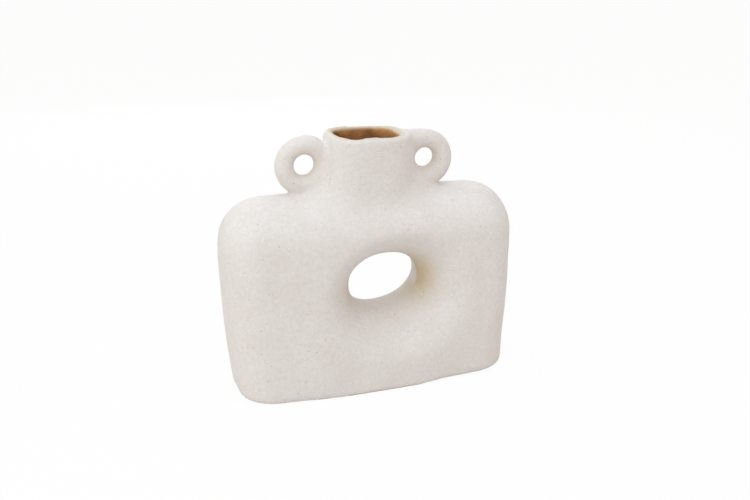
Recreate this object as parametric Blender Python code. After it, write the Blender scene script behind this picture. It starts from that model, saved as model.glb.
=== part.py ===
"""Donut vase: a slab-bodied ceramic vase with a hole through it, an oval neck and two finger rings.

Metres, +Z up.  The vase stands on z = 0 and faces -Y, with the origin under the middle of its body.
It is built as a potter builds it, from pieces of clay that are luted together: a front and a back
shell, the sleeve of the tunnel between them, a base slab, a neck and two ring handles.
"""

import math

import bmesh
import bpy

# Joints between pieces
LUTE_GAP = 0.0003

# Body slab
BODY_HEIGHT = 0.1625
BODY_DEPTH = 0.081
SHOULDER_WIDTH = 0.240
FOOT_WIDTH = 0.2255
END_SWELL = 0.0043
BODY_WALL = 0.0055
BASE_THICKNESS = 0.008

# Corners of the body, seen from the front
SHOULDER_CORNER_REACH = 0.038
SHOULDER_CORNER_DROP = 0.046
SHOULDER_CORNER_POWER = 2.5
FOOT_CORNER_REACH = 0.028
FOOT_CORNER_RISE = 0.016

# Rounded edges of the body, from its outline to its front and back faces
SHOULDER_EDGE_DROP = 0.040
SHOULDER_EDGE_ACROSS = 0.0375
END_EDGE = 0.028
FOOT_EDGE = 0.0055

# Tunnel through the body
TUNNEL_HEIGHT = 0.0855
TUNNEL_OFFSET = 0.0118
TUNNEL_HALF_WIDTH = 0.0335
TUNNEL_HALF_HEIGHT = 0.0256
FLARE_REACH = 0.024
FLARE_DEPTH = 0.027

# Neck
NECK_HEIGHT = 0.0450
NECK_FOOT_HALF_WIDTH = 0.0408
NECK_RIM_HALF_WIDTH = 0.0362
NECK_HALF_DEPTH = 0.0293
NECK_OVAL_POWER = 2.4
NECK_WALL = 0.006
NECK_FLARE_RISE = 0.016
NECK_FLARE_SIDE = 0.007
NECK_FLARE_FRONT = 0.005

# Ring handles
RING_RADIUS = 0.0157
RING_COIL_RADIUS = 0.0078
LEFT_RING_SINK = 0.0010
LEFT_RING_STANDOFF = 0.0056
RIGHT_RING_SINK = 0.0022
RIGHT_RING_STANDOFF = 0.0020

# Least radius that a rounded edge keeps where a wall uses it up
LEAST_RADIUS = 0.0005
# Largest share of the face between outline and tunnel that a rounded edge may take
EDGE_SHARE = 0.9
# Steepest slant at which a section through the edge is still taken as square to it
MOST_SLANT = math.radians(45)

# Facets
FLAT_STEPS = 5
CORNER_STEPS = 6
END_STEPS = 5
SPOKE_STEPS = 12
NECK_SEGMENTS = 44
NECK_FLARE_STEPS = 5
LIP_STEPS = 6
RING_SEGMENTS = 36
COIL_SEGMENTS = 14
SHARP_ANGLE = math.radians(40)

# Glaze and clay
GLAZE_ROUGHNESS = 0.85
BODY_GLAZE = (0.70, 0.65, 0.61)
NECK_GLAZE = (0.72, 0.67, 0.63)
RING_GLAZE = (0.74, 0.69, 0.65)
TUNNEL_GLAZE = (0.66, 0.60, 0.54)
BASE_CLAY = (0.42, 0.26, 0.14)

HALF_DEPTH = BODY_DEPTH / 2
RIM_HEIGHT = BODY_HEIGHT + NECK_HEIGHT


def clear_scene():
    for item in list(bpy.data.objects):
        bpy.data.objects.remove(item, do_unlink=True)


def glaze(name, colour):
    material = bpy.data.materials.new(name)
    material.use_nodes = True
    shader = material.node_tree.nodes["Principled BSDF"]
    shader.inputs["Base Color"].default_value = (*colour, 1.0)
    shader.inputs["Roughness"].default_value = GLAZE_ROUGHNESS
    shader.inputs["Metallic"].default_value = 0.0
    return material


def loft(rings, closed):
    """Skin a row of point rings: a closed row joins its ends, an open one is capped."""
    skin = bmesh.new()
    rows = [[skin.verts.new(point) for point in ring] for ring in rings]
    pairs = list(zip(rows, rows[1:]))
    if closed:
        pairs.append((rows[-1], rows[0]))
    else:
        skin.faces.new(rows[0])
        skin.faces.new(rows[-1])
    for row, following in pairs:
        for i in range(len(row)):
            skin.faces.new((row[i - 1], row[i], following[i], following[i - 1]))
    bmesh.ops.recalc_face_normals(skin, faces=skin.faces)
    return skin


def add_object(name, skin):
    mesh = bpy.data.meshes.new(name)
    skin.to_mesh(mesh)
    skin.free()
    item = bpy.data.objects.new(name, mesh)
    bpy.context.collection.objects.link(item)
    return item


def add_piece(name, skin, colour):
    piece = add_object(name, skin)
    piece.data.materials.append(glaze(name + "_clay", colour))
    piece.data.shade_smooth()
    piece.data.set_sharp_from_angle(angle=SHARP_ANGLE)
    return piece


def add_cutter(name, skin):
    cutter = add_object(name, skin)
    cutter.hide_render = True
    cutter.display_type = "WIRE"
    return cutter


def cut(piece, operation, cutter):
    boolean = piece.modifiers.new(cutter.name, "BOOLEAN")
    boolean.operation = operation
    boolean.object = cutter
    boolean.solver = "EXACT"


def steps(count):
    """Even shares from 0 up to, but without, 1."""
    return [i / count for i in range(count)]


def quarter(count):
    """Angles of a quarter turn, both ends included."""
    return [math.pi / 2 * i / count for i in range(count + 1)]


def drawn_in(radius, inset):
    return max(radius - inset, LEAST_RADIUS)


# Body

def end_at(z):
    """Half-width of the body at a height, before its corners are rounded."""
    share = z / BODY_HEIGHT
    width = FOOT_WIDTH + (SHOULDER_WIDTH - FOOT_WIDTH) * share
    return width / 2 + 4 * END_SWELL * share * (1 - share)


def right_outline(inset):
    """Right half of the body's outline at mid-depth, from the middle of its foot to its top."""
    floor = inset
    top = BODY_HEIGHT - inset
    foot_reach = drawn_in(FOOT_CORNER_REACH, inset)
    foot_rise = drawn_in(FOOT_CORNER_RISE, inset)
    reach = drawn_in(SHOULDER_CORNER_REACH, inset)
    drop = drawn_in(SHOULDER_CORNER_DROP, inset)
    power = 2 / SHOULDER_CORNER_POWER

    points = [(share * (end_at(floor) - inset - foot_reach), floor) for share in steps(FLAT_STEPS)]
    for angle in quarter(CORNER_STEPS)[:-1]:
        z = floor + foot_rise * (1 - math.cos(angle))
        points.append((end_at(z) - inset - foot_reach * (1 - math.sin(angle)), z))
    for share in steps(END_STEPS):
        z = floor + foot_rise + share * (top - drop - floor - foot_rise)
        points.append((end_at(z) - inset, z))
    for angle in quarter(CORNER_STEPS):
        z = top - drop * (1 - math.sin(angle) ** power)
        points.append((end_at(z) - inset - reach * (1 - max(math.cos(angle), 0) ** power), z))
    shoulder_x, top_z = points.pop()
    points += [((1 - share) * shoulder_x, top_z) for share in steps(FLAT_STEPS)]
    points.append((0.0, top_z))
    return points


def outline(inset):
    right = right_outline(inset)
    left = [(-x, z) for x, z in reversed(right[1:-1])]
    return right + left


def outward(points, i):
    """Outward normal of a closed outline at one of its points."""
    x0, z0 = points[i - 1]
    x1, z1 = points[(i + 1) % len(points)]
    length = math.hypot(x1 - x0, z1 - z0)
    return (z1 - z0) / length, (x0 - x1) / length


def edge_radii(normal):
    """How far an edge is rounded inwards from the outline, and across the depth."""
    end = normal[0] ** 2
    top = max(normal[1], 0) ** 2
    foot = max(-normal[1], 0) ** 2
    inwards = end * END_EDGE + top * SHOULDER_EDGE_DROP + foot * FOOT_EDGE
    across = end * END_EDGE + top * SHOULDER_EDGE_ACROSS + foot * FOOT_EDGE
    return inwards, min(across, HALF_DEPTH - 2 * LUTE_GAP)


def tunnel_point(turn, growth):
    """Point of the tunnel's oval, grown by an even margin."""
    x = TUNNEL_OFFSET + (TUNNEL_HALF_WIDTH + growth) * math.cos(turn)
    z = TUNNEL_HEIGHT + (TUNNEL_HALF_HEIGHT + growth) * math.sin(turn)
    return x, z


def tunnel_turns():
    """Where each outline point meets the tunnel's oval, as a turn around it."""
    return [
        math.atan2((z - TUNNEL_HEIGHT) / TUNNEL_HALF_HEIGHT, (x - TUNNEL_OFFSET) / TUNNEL_HALF_WIDTH)
        for x, z in outline(0.0)
    ]


def edge_drop(run, reach, depth):
    """How far a rounded edge lies below its face, at a run from where it starts."""
    return depth * (1 - math.sqrt(1 - max(1 - run / reach, 0.0) ** 2))


def front_spoke(start, normal, base_start, turn, inset, seam):
    """Section of the front skin, from the seam over the rounded edge and the face into the flare."""
    throat = tunnel_point(turn, 0.0)
    base_span = math.dist(base_start, throat)
    ray = ((throat[0] - base_start[0]) / base_span, (throat[1] - base_start[1]) / base_span)
    square = max(-(ray[0] * normal[0] + ray[1] * normal[1]), math.cos(MOST_SLANT))
    inwards, across = edge_radii(normal)
    inwards = drawn_in(min(inwards, EDGE_SHARE * base_span * square), inset)
    across = drawn_in(across, inset)
    reach = drawn_in(min(FLARE_REACH, EDGE_SHARE * base_span), inset)
    depth = drawn_in(FLARE_DEPTH, inset)

    end = tunnel_point(turn, inset)
    span = math.dist(start, end)
    points = [(start[0], -seam, start[1])]
    for i in range(SPOKE_STEPS + 1):
        share = (1 - math.cos(math.pi * i / SPOKE_STEPS)) / 2
        drop = edge_drop(share * span * square, inwards, across)
        drop += edge_drop((1 - share) * span, reach, depth)
        x = start[0] + share * (end[0] - start[0])
        z = start[1] + share * (end[1] - start[1])
        points.append((x, drop + inset - HALF_DEPTH, z))
    return points


def front_rings(inset, seam):
    """Rings of the front half of the body's skin, drawn in by inset, from the seam to the tunnel."""
    base = outline(0.0)
    starts = outline(inset)
    turns = tunnel_turns()
    spokes = [
        front_spoke(starts[i], outward(base, i), base[i], turns[i], inset, seam)
        for i in range(len(base))
    ]
    return [list(ring) for ring in zip(*spokes)]


def turned_back(rings):
    """The same rings on the back half of the body."""
    return [[(x, -y, z) for x, y, z in ring] for ring in rings]


def body_solid(growth):
    """The whole body as one solid with its tunnel, grown by an even margin."""
    front = front_rings(-growth, 0.0)
    back = turned_back(front[1:])
    return loft(front + back[::-1], closed=True)


def half_shell_rings():
    seam = LUTE_GAP / 2
    return front_rings(0.0, seam) + front_rings(BODY_WALL, seam)[::-1]


def box(low, high):
    """A box across the whole body between two heights."""
    x = SHOULDER_WIDTH
    y = BODY_DEPTH
    rings = [[(-x, -y, z), (x, -y, z), (x, y, z), (-x, y, z)] for z in (low, high)]
    return loft(rings, closed=False)


def tunnel_sleeve():
    """The straight middle of the tunnel, between the flares of the two shells."""
    end = HALF_DEPTH - FLARE_DEPTH - LUTE_GAP
    rings = []
    for growth, y in ((0.0, -end), (0.0, end), (BODY_WALL, end), (BODY_WALL, -end)):
        oval = [tunnel_point(turn, growth) for turn in tunnel_turns()]
        rings.append([(x, y, z) for x, z in oval])
    return loft(rings, closed=True)


# Neck

def shoulder_at(y):
    """Height of the shoulder over the flat middle of the body."""
    past = abs(y) - (HALF_DEPTH - SHOULDER_EDGE_ACROSS)
    share = min(max(past / SHOULDER_EDGE_ACROSS, 0.0), 1.0)
    return BODY_HEIGHT - SHOULDER_EDGE_DROP * (1 - math.sqrt(1 - share ** 2))


def neck_half_width(z):
    share = (z - BODY_HEIGHT) / NECK_HEIGHT
    return NECK_FOOT_HALF_WIDTH + (NECK_RIM_HALF_WIDTH - NECK_FOOT_HALF_WIDTH) * share


def oval_point(turn, half_width, half_depth):
    power = 2 / NECK_OVAL_POWER
    x = math.copysign(abs(math.cos(turn)) ** power, math.cos(turn))
    y = math.copysign(abs(math.sin(turn)) ** power, math.sin(turn))
    return half_width * x, half_depth * y


def neck_point(turn, z, growth, flare):
    """Point of the neck's oval at a height, grown by a margin and a share of its foot's flare."""
    half_width = neck_half_width(z) + growth + flare * NECK_FLARE_SIDE
    half_depth = NECK_HALF_DEPTH + growth + flare * NECK_FLARE_FRONT
    return (*oval_point(turn, half_width, half_depth), z)


def neck_turns():
    return [2 * math.pi * share for share in steps(NECK_SEGMENTS)]


def neck_outside(growth):
    """Rings of the neck's outside, from a buried ring under its flared foot up to its lip."""
    spokes = []
    for turn in neck_turns():
        foot = neck_point(turn, BODY_HEIGHT, growth, 1.0)
        seat = shoulder_at(foot[1])
        spoke = [(foot[0], foot[1], seat - BODY_WALL)]
        for share in steps(NECK_FLARE_STEPS):
            x, y, z = neck_point(turn, BODY_HEIGHT + share * NECK_FLARE_RISE, growth, (1 - share) ** 2)
            spoke.append((x, y, z - (1 - share) * (BODY_HEIGHT - seat)))
        spoke.append(neck_point(turn, BODY_HEIGHT + NECK_FLARE_RISE, growth, 0.0))
        spoke.append(neck_point(turn, RIM_HEIGHT - NECK_WALL / 2, growth, 0.0))
        spokes.append(spoke)
    return [list(ring) for ring in zip(*spokes)]


def neck_lip():
    """Rings of the half-round lip, from the outside over to the bore."""
    radius = NECK_WALL / 2
    rings = []
    for i in range(1, LIP_STEPS + 1):
        angle = math.pi * i / LIP_STEPS
        z = RIM_HEIGHT - radius + radius * math.sin(angle)
        inset = radius * (1 - math.cos(angle))
        rings.append([neck_point(turn, z, -inset, 0.0) for turn in neck_turns()])
    return rings


def bore_ring(z):
    return [neck_point(turn, z, -NECK_WALL, 0.0) for turn in neck_turns()]


def neck_skin():
    rings = neck_outside(0.0) + neck_lip() + [bore_ring(BODY_HEIGHT - 2 * BODY_WALL)]
    return loft(rings, closed=True)


def neck_plug(growth):
    """The neck's outside as one solid, grown by an even margin."""
    rings = neck_outside(growth)
    rings.append([(x, y, RIM_HEIGHT + growth) for x, y, _ in rings[-1]])
    return loft(rings, closed=False)


def bore_plug():
    """The neck's bore, carried down through the shoulder into the body."""
    low = shoulder_at(NECK_HALF_DEPTH) - 2 * BODY_WALL
    high = BODY_HEIGHT + BODY_WALL
    foot = bore_ring(BODY_HEIGHT)
    return loft([[(x, y, z) for x, y, _ in foot] for z in (low, high)], closed=False)


# Ring handles

def ring_skin(side, sink, standoff):
    """A coil of clay closed into an upright ring, pressed on the shoulder and the side of the neck."""
    z = BODY_HEIGHT + RING_RADIUS + RING_COIL_RADIUS - sink
    x = side * (neck_half_width(z) + standoff + RING_RADIUS - RING_COIL_RADIUS)
    rings = []
    for share in steps(RING_SEGMENTS):
        around = 2 * math.pi * share
        ring = []
        for coil_share in steps(COIL_SEGMENTS):
            coil = 2 * math.pi * coil_share
            radius = RING_RADIUS + RING_COIL_RADIUS * math.cos(coil)
            y = RING_COIL_RADIUS * math.sin(coil)
            ring.append((x + radius * math.cos(around), y, z + radius * math.sin(around)))
        rings.append(ring)
    return loft(rings, closed=True)


def build():
    clear_scene()
    base_zone = add_cutter("base_zone", box(-BASE_THICKNESS, BASE_THICKNESS))
    base_room = add_cutter("base_room", box(-BASE_THICKNESS, BASE_THICKNESS + LUTE_GAP))
    bore = add_cutter("neck_bore", bore_plug())
    body_room = add_cutter("body_room", body_solid(LUTE_GAP))
    neck_room = add_cutter("neck_room", neck_plug(LUTE_GAP))

    base = add_piece("base_slab", body_solid(0.0), BASE_CLAY)
    cut(base, "INTERSECT", base_zone)

    shell = half_shell_rings()
    for name, rings in (("front_shell", shell), ("back_shell", turned_back(shell))):
        piece = add_piece(name, loft(rings, closed=True), BODY_GLAZE)
        cut(piece, "DIFFERENCE", base_room)
        cut(piece, "DIFFERENCE", bore)

    add_piece("tunnel_sleeve", tunnel_sleeve(), TUNNEL_GLAZE)

    neck = add_piece("neck", neck_skin(), NECK_GLAZE)
    cut(neck, "DIFFERENCE", body_room)

    handles = (
        ("left_ring_handle", -1, LEFT_RING_SINK, LEFT_RING_STANDOFF),
        ("right_ring_handle", 1, RIGHT_RING_SINK, RIGHT_RING_STANDOFF),
    )
    for name, side, sink, standoff in handles:
        handle = add_piece(name, ring_skin(side, sink, standoff), RING_GLAZE)
        cut(handle, "DIFFERENCE", neck_room)
        cut(handle, "DIFFERENCE", body_room)


build()
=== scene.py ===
from math import atan2, copysign, cos, exp, pi, radians, sin, sqrt

import bmesh
import bpy
from bpy.props import FloatProperty, FloatVectorProperty, IntProperty, PointerProperty
from mathutils import Matrix, Vector, noise
from mathutils.bvhtree import BVHTree
from mathutils.kdtree import KDTree


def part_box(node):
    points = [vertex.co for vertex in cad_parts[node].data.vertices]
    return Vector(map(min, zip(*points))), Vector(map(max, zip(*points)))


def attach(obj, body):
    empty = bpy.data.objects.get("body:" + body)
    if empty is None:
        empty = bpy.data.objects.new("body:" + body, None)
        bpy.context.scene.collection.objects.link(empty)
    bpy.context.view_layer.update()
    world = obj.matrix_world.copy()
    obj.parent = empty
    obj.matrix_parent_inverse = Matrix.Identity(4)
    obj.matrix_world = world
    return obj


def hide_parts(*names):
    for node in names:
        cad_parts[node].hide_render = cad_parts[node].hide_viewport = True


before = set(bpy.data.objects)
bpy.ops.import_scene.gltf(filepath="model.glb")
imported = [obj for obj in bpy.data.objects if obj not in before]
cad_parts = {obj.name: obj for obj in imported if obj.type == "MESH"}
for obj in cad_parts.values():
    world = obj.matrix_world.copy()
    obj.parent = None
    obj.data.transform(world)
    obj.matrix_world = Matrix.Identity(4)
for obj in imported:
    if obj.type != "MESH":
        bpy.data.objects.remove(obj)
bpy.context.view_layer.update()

bl_info = {
    "name": "Donut vase",
    "version": (1, 0, 0),
    "blender": (4, 5, 0),
    "location": "3D View > Sidebar > Vase",
    "description": "Builds a hand-made vase with a tunnel, ring handles and a speckled glaze",
    "category": "Object",
}

NECK_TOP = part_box("neck")[1].z
SLAB_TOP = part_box("base_slab")[1].z
LEFT_RING_LOW, LEFT_RING_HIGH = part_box("left_ring_handle")
RIGHT_RING_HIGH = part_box("right_ring_handle")[1]

QUARTER = pi / 2
FULL_TURN = 4 * QUARTER

# How many steps each outline is drawn in.
CORNER_STEPS, SIDE_STEPS = 12, 16
FOOT_ROWS, WALL_ROWS, CROWN_ROWS = 10, 10, 26
TUNNEL_STEPS, FLARE_ROWS = 80, 24
NECK_STEPS, NECK_ROWS, LIP_ROWS, BORE_ROWS = 72, 18, 6, 10
COIL_STEPS, RING_STEPS = 28, 64
WELD = 1e-6

# The body: where each change begins and ends.
WIDEST_CORNER = 0.98
RIGHT_EDGE_SPAN = 0.028, 0.056
LEFT_EDGE_SPAN = -0.075, -0.045
KICK_SPAN, KICK_POWER = (0.004, 0.024), 4
SLUMP_SPAN = 0.02, 0.08

# The tunnel: first and last slope of each flare, and its run past the face.
FRONT_SLOPES = radians(22), radians(70)
BACK_SLOPES = 0.0, radians(80)
PAST_FACE = 0.25

# The neck: angle and width of the lip's dents; in walls, its inner round and the bore's start below.
LEFT_DENT, RIGHT_DENT = (-0.5, 0.35), (0.35, 0.2)
INNER_ROUND = 0.45
BORE_START = 2.5

# The rings: where each is pressed against the neck, and how wide that web is.
LEFT_WEB, RIGHT_WEB, WEB_WIDTH = 0.72 * QUARTER, 1.5 * QUARTER, 0.42

# Smoothing: how far from both of its pieces a seam is softened.
NECK_SEAMS = 0.010, 0.006
TUNNEL_SEAMS = 0.012, 0.007
RING_SEAM = 0.0045

# Swells: share, pitch and shift of the finer ones, and the height they fade out below.
FINE_SHARE, FINE_PITCH, FINE_SHIFT = 0.5, 2.1, Vector((7.0, 3.0, 1.0))
GROUND_FADE = 0.012

# Marks of bare clay: distance from the inside's skin; height and slope of the underside.
CLAY_SKIN = 0.0008, 0.0022
GROUND, FACING_DOWN = 0.0006, -0.7

# Marks of painted shade in the tunnel and the ring holes, and of thin glaze on the lip: where they fade, how
# strong they are.
RIDGE_FADE, RIDGE_FRONT, FLOOR_SLOPE = (0.006, 0.030), (-0.002, 0.001), (0.2, 0.7)
TUNNEL_SKIN, TUNNEL_SHADE, RIGHT_WALL_SHADE, FLOOR_LESS_SHADE = (0.0005, 0.004), 0.30, 0.95, 0.40
LIP_FADE, LIP_SKIN, LIP_THIN = (0.002, 0.005), (0.001, 0.003), 0.75
HOLE_EDGE, HOLE_SKIN, HOLE_SHADE, HOLE_ROOF_SHADE = 0.3, (0.0005, 0.003), 0.2, 0.4

# Joints: clearances, how deep in the wall the neck's cut turns up, and how many points a point recalls.
NECK_CLEAR, SHOULDER_CLEAR, SLAB_CLEAR = 0.001, 0.0012, 0.002
NECK_CUT = 0.4
NEAREST = 4

# Materials: grain in waves a metre, height of the bump, and where the clay's painted light towards the right
# begins.
SAND_SCALE, CLOUD_SCALE, WOBBLE_SCALE = 1100.0, 42.0, 160.0
BUMP_HEIGHT = 0.0004
PAINTED_LIGHT_START = 0.011

# The stage; a softbox has a name, a place, a size, its watts and a tint.
PHOTO_WIDTH, SENSOR_WIDTH = 750, 36.0
FLOOR_HALF_WIDTH, FLOOR_WHITE, ROOM_LIGHT = 40.0, 0.95, 0.73
LAMP_AIM = Vector((0.0, 0.0, 0.1))
SOFTBOXES = (("key_softbox", (-1.1, -0.6, 0.9), 1.1, 6.2, (0.84, 0.96, 1.0)),
             ("top_softbox", (0.05, -0.3, 1.45), 1.4, 8.2, (0.64, 0.82, 1.0)),
             ("back_softbox", (0.1, 1.2, 0.6), 0.9, 3.6, (0.80, 0.92, 1.0)))

WET_PIECES = ("wet_body", "wet_chamber", "wet_tunnel", "wet_neck", "wet_bore",
              "wet_left_ring", "wet_right_ring")
WET_RINGS = WET_PIECES[-2:]
MARKS = "bare", "painted_shade_and_thin_glaze"


def number(name, description, default, **kind):
    """A number; kind gives its unit or subtype."""
    return FloatProperty(name=name, description=description, default=default, **kind)


def length(name, description, default):
    """A size in metres."""
    return number(name, description, default, unit="LENGTH", precision=4)


def factor(name, description, default):
    """A share of another size."""
    return number(name, description, default, subtype="FACTOR")


def rounds(name, description, default):
    """A count of smoothing rounds."""
    return IntProperty(name=name, description=description, default=default)


def colour(name, description, red, green, blue):
    """A colour, given in the 8-bit values of a picture."""
    shades = [(v / 255 + 0.055) / 1.055 for v in (red, green, blue)]
    return FloatVectorProperty(name=name, description=description, size=4, subtype="COLOR", min=0.0, max=1.0,
                               default=[v ** 2.4 for v in shades] + [1.0])


class VaseBodySizes(bpy.types.PropertyGroup):
    """Sizes of the slab-like body."""
    height: length("Height", "Height of the shoulder's crest", 0.1621)
    shoulder_half_width: length("Shoulder half width", "Half width at the shoulder line", 0.1196)
    foot_half_width: length("Foot half width", "Half width at the foot line", 0.1139)
    swell: length("End swell", "How far the ends swell out in between", 0.0045)
    shoulder_half_depth: length("Shoulder half depth", "Half depth at the shoulder line", 0.0347)
    foot_half_depth: length("Foot half depth", "Half depth at the foot line", 0.0366)
    bow: length("Bow", "How far front and back bow out in the middle", 0.0060)
    slump: length("Slump", "How much lower the right shoulder lies", 0.0021)
    lean: length("Lean", "How far right of the shoulder the foot stands", 0.0011)
    right_corner: length("Right corner", "Radius of the right end seen from above", 0.0265)
    left_corner: length("Left corner", "Radius of the left end seen from above", 0.0255)
    dome_drop: length("Dome drop", "Height of the domed shoulder", 0.0385)
    dome_across: length("Dome across", "Depth of the dome on each side", 0.0328)
    corner_reach: length("Corner reach", "Width of the shoulder's round corners", 0.0385)
    corner_drop: length("Corner drop", "Height of the shoulder's round corners", 0.0430)
    corner_power: number("Corner power", "Fullness of the shoulder's corners", 2.8)
    foot_reach: length("Foot reach", "Width of the foot's round corners", 0.0065)
    foot_rise: length("Foot rise", "Height of the foot's round corners", 0.0055)
    foot_edge: length("Foot edge", "Radius of the foot's edge in the middle", 0.0018)
    left_foot_edge: length("Left foot edge", "Radius of the same edge at the left", 0.0058)
    right_foot_edge: length("Right foot edge", "Radius of the same edge at the right", 0.0072)
    left_kick: length("Left kick", "How far the left end kicks out at the foot", 0.0006)
    right_kick: length("Right kick", "How far the right end kicks out at the foot", 0.0022)
    wall: length("Wall", "Thickness of the clay", 0.0055)
    base: length("Base", "Thickness of the slab below", SLAB_TOP)


class VaseTunnelSizes(bpy.types.PropertyGroup):
    """Sizes of the oval tunnel."""
    offset: length("Offset", "How far right of the middle the tunnel lies", 0.0121)
    height: length("Height", "Height of the tunnel's middle", 0.0842)
    half_width: length("Half width", "Half width of the throat", 0.0303)
    half_height: length("Half height", "Half height of the throat", 0.0233)
    tilt: number("Tilt", "Slant of the oval", 0.083, subtype="ANGLE")
    oval_power: number("Oval power", "Fullness of the oval", 2.2)
    slant: number("Slant", "Drift to the right on the way back", 0.10)
    ridge: length("Ridge", "How far before the middle the front flare ends", 0.0050)
    throat: length("Throat", "Depth where the back flare starts; negative is in front", -0.0020)
    front_reach: length("Front reach", "How far the front flare widens the tunnel", 0.0310)
    dish_right: length("Dish right", "How far the front flare leans right at the face", 0.0060)
    dish_drop: length("Dish drop", "How far the front flare leans down at the face", 0.0050)
    back_reach: length("Back reach", "How far the back flare widens the tunnel", 0.0200)
    collar: length("Collar", "Half length of the collar between the flares", 0.0085)


class VaseNeckSizes(bpy.types.PropertyGroup):
    """Sizes of the oval neck."""
    rim: length("Rim", "Height of the lip at the back", NECK_TOP + 0.0011)
    foot_half_width: length("Foot half width", "Half width above the foot", 0.0402)
    rim_half_width: length("Rim half width", "Half width at the lip", 0.0335)
    half_depth: length("Half depth", "Half the depth", 0.0287)
    foot_power: number("Foot power", "Fullness of the oval at the foot", 2.4)
    rim_power: number("Rim power", "Fullness of the oval at the lip", 2.83)
    bore_power: number("Bore power", "Fullness of the bore's oval", 3.0)
    bore_square: number("Bore square", "How much fuller the bore is at its right end", 1.2)
    bore_skew: number("Bore skew", "Drift of the bore to the right on the way back", 0.05)
    bore_shift: length("Bore shift", "Shift of the bore to the right; negative is left", -0.0017)
    wall: length("Wall", "Thickness of the lip, front and back", 0.0062)
    side_wall: length("Side wall", "Thickness of the lip at the sides", 0.0086)
    flare_rise: length("Flare rise", "Height of the soft foot", 0.020)
    side_flare: length("Side flare", "Spread of the foot at the sides", 0.008)
    front_flare: length("Front flare", "Spread of the foot, front and back", 0.007)
    left_dip: length("Left dip", "Depth of the lip's long dent left of the middle", 0.0007)
    lip_dip: length("Lip dip", "Depth of the lip's dent right of the middle", 0.0010)
    front_lift: length("Front lift", "How much higher the lip is at the front", 0.0004)
    lip_tilt: length("Lip tilt", "How much higher the lip is at the left end", 0.0007)


class VaseRingSizes(bpy.types.PropertyGroup):
    """Sizes of the ring handles."""
    radius: length("Radius", "Radius of the ring along its middle", 0.0160)
    coil: length("Coil", "Radius of the rolled coil", 0.0078)
    left_foot: factor("Left foot", "How much thicker the left coil is below", 0.08)
    right_foot: factor("Right foot", "How much thicker the right coil is below", 0.12)
    right_sill: factor("Right sill", "How much the right coil fills the hole below", 0.10)
    left_web: factor("Left web", "How much thicker the left coil is beside the lip", 0.12)
    right_web: factor("Right web", "How much thicker the right coil is beside the lip", 0.98)
    right_drop: length("Right drop", "How much lower the right ring has slid", 0.0006)
    left_shift: length("Left shift", "How much further out the left ring leans", 0.0009)
    right_shift: length("Right shift", "How much further out the right ring leans", 0.0004)


class VaseFiring(bpy.types.PropertyGroup):
    """How the clay pieces are joined and smoothed."""
    grain: length("Grain", "Size of the mesh of the fired vase", 0.0018)
    unevenness: length("Unevenness", "Height of the hand-made swells", 0.0006)
    swell_length: length("Swell length", "Distance from swell to swell", 0.045)
    smoothing: rounds("Smoothing", "Rounds of smoothing all over", 4)
    neck_smoothing: rounds("Neck smoothing", "Rounds at the foot of the neck", 40)
    ring_smoothing: rounds("Ring smoothing", "Rounds at the feet of the rings", 4)
    tunnel_smoothing: rounds("Tunnel smoothing", "Rounds at the tunnel's rim", 40)
    lip_smoothing: rounds("Lip smoothing", "Rounds at the lip", 6)


class VaseFinish(bpy.types.PropertyGroup):
    """Colours of the glaze and the clay."""
    glaze: colour("Glaze", "Matte off-white glaze", 229, 225, 221)
    # Thin glaze, and also the colour of the painted shade in the tunnel and the ring holes.
    thin_glaze_and_painted_shade: colour("Thin glaze", "Glaze where it lies thin", 209, 191, 157)
    clay: colour("Bare clay", "Unglazed tan clay of the inside", 218, 158, 100)
    # Burnt patches, and also the painted shade deep in the bore.
    burnt_clay_and_shade: colour("Burnt clay", "Darker patches in the bare clay", 98, 55, 24)
    slab_clay: colour("Slab clay", "Duller tan clay of the underside", 178, 134, 92)
    dark_speck: colour("Dark speck", "Small iron specks in the glaze", 193, 183, 173)
    pale_speck: colour("Pale speck", "Small light specks in the glaze", 241, 240, 239)
    sand: colour("Sand", "Faint sandy tone in the glaze", 206, 196, 184)


class VaseStudio(bpy.types.PropertyGroup):
    """Place and lens of the camera."""
    azimuth: number("Azimuth", "Turn of the camera to the left", radians(19.5875), subtype="ANGLE")
    elevation: number("Elevation", "Height of the camera", radians(18.582), subtype="ANGLE")
    distance: length("Distance", "Distance of the camera", 0.7766)
    target: FloatVectorProperty(name="Target", description="Point that the camera looks at", size=3,
                                default=(0.0066, 0.0, 0.1085), subtype="TRANSLATION")
    focal: number("Focal length", "Focal length in pixels of the photo", 940.0)


def steps(count):
    """Even shares from 0 to 1."""
    return [i / count for i in range(count + 1)]


def eased(value, low, high):
    """0 below low, 1 above high and a smooth rise between them."""
    share = min(max((value - low) / (high - low), 0.0), 1.0)
    return share * share * (3 - 2 * share)


def fading(value, low, high):
    """1 below low, 0 above high and a smooth fall between them."""
    return 1.0 - eased(value, low, high)


def hump(value, place, width):
    """1 at a place, falling off smoothly to both sides."""
    return exp(-((value - place) / width) ** 2)


def drawn_in(left, across, along, power=2.0):
    """How far a rounded corner has drawn in, with this distance left to its end."""
    share = min(max((along - left) / along, 0.0), 1.0)
    return across * (1.0 - (1.0 - share ** power) ** (1.0 / power))


def oval(angle, fullness):
    """A point of an oval of half width and half depth 1; a fullness of 2 gives a circle."""
    return [copysign(abs(part) ** (2 / fullness), part) for part in (cos(angle), sin(angle))]


def plain_depth(body, z):
    """Half depth of the body at a height, without its rounded edges."""
    return body.foot_half_depth + (body.shoulder_half_depth - body.foot_half_depth) * z / body.height


def body_floor(body, growth):
    """Height of the lowest slice: the ground, or the top of the base slab inside."""
    return body.base if growth < 0 else 0.0


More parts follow.
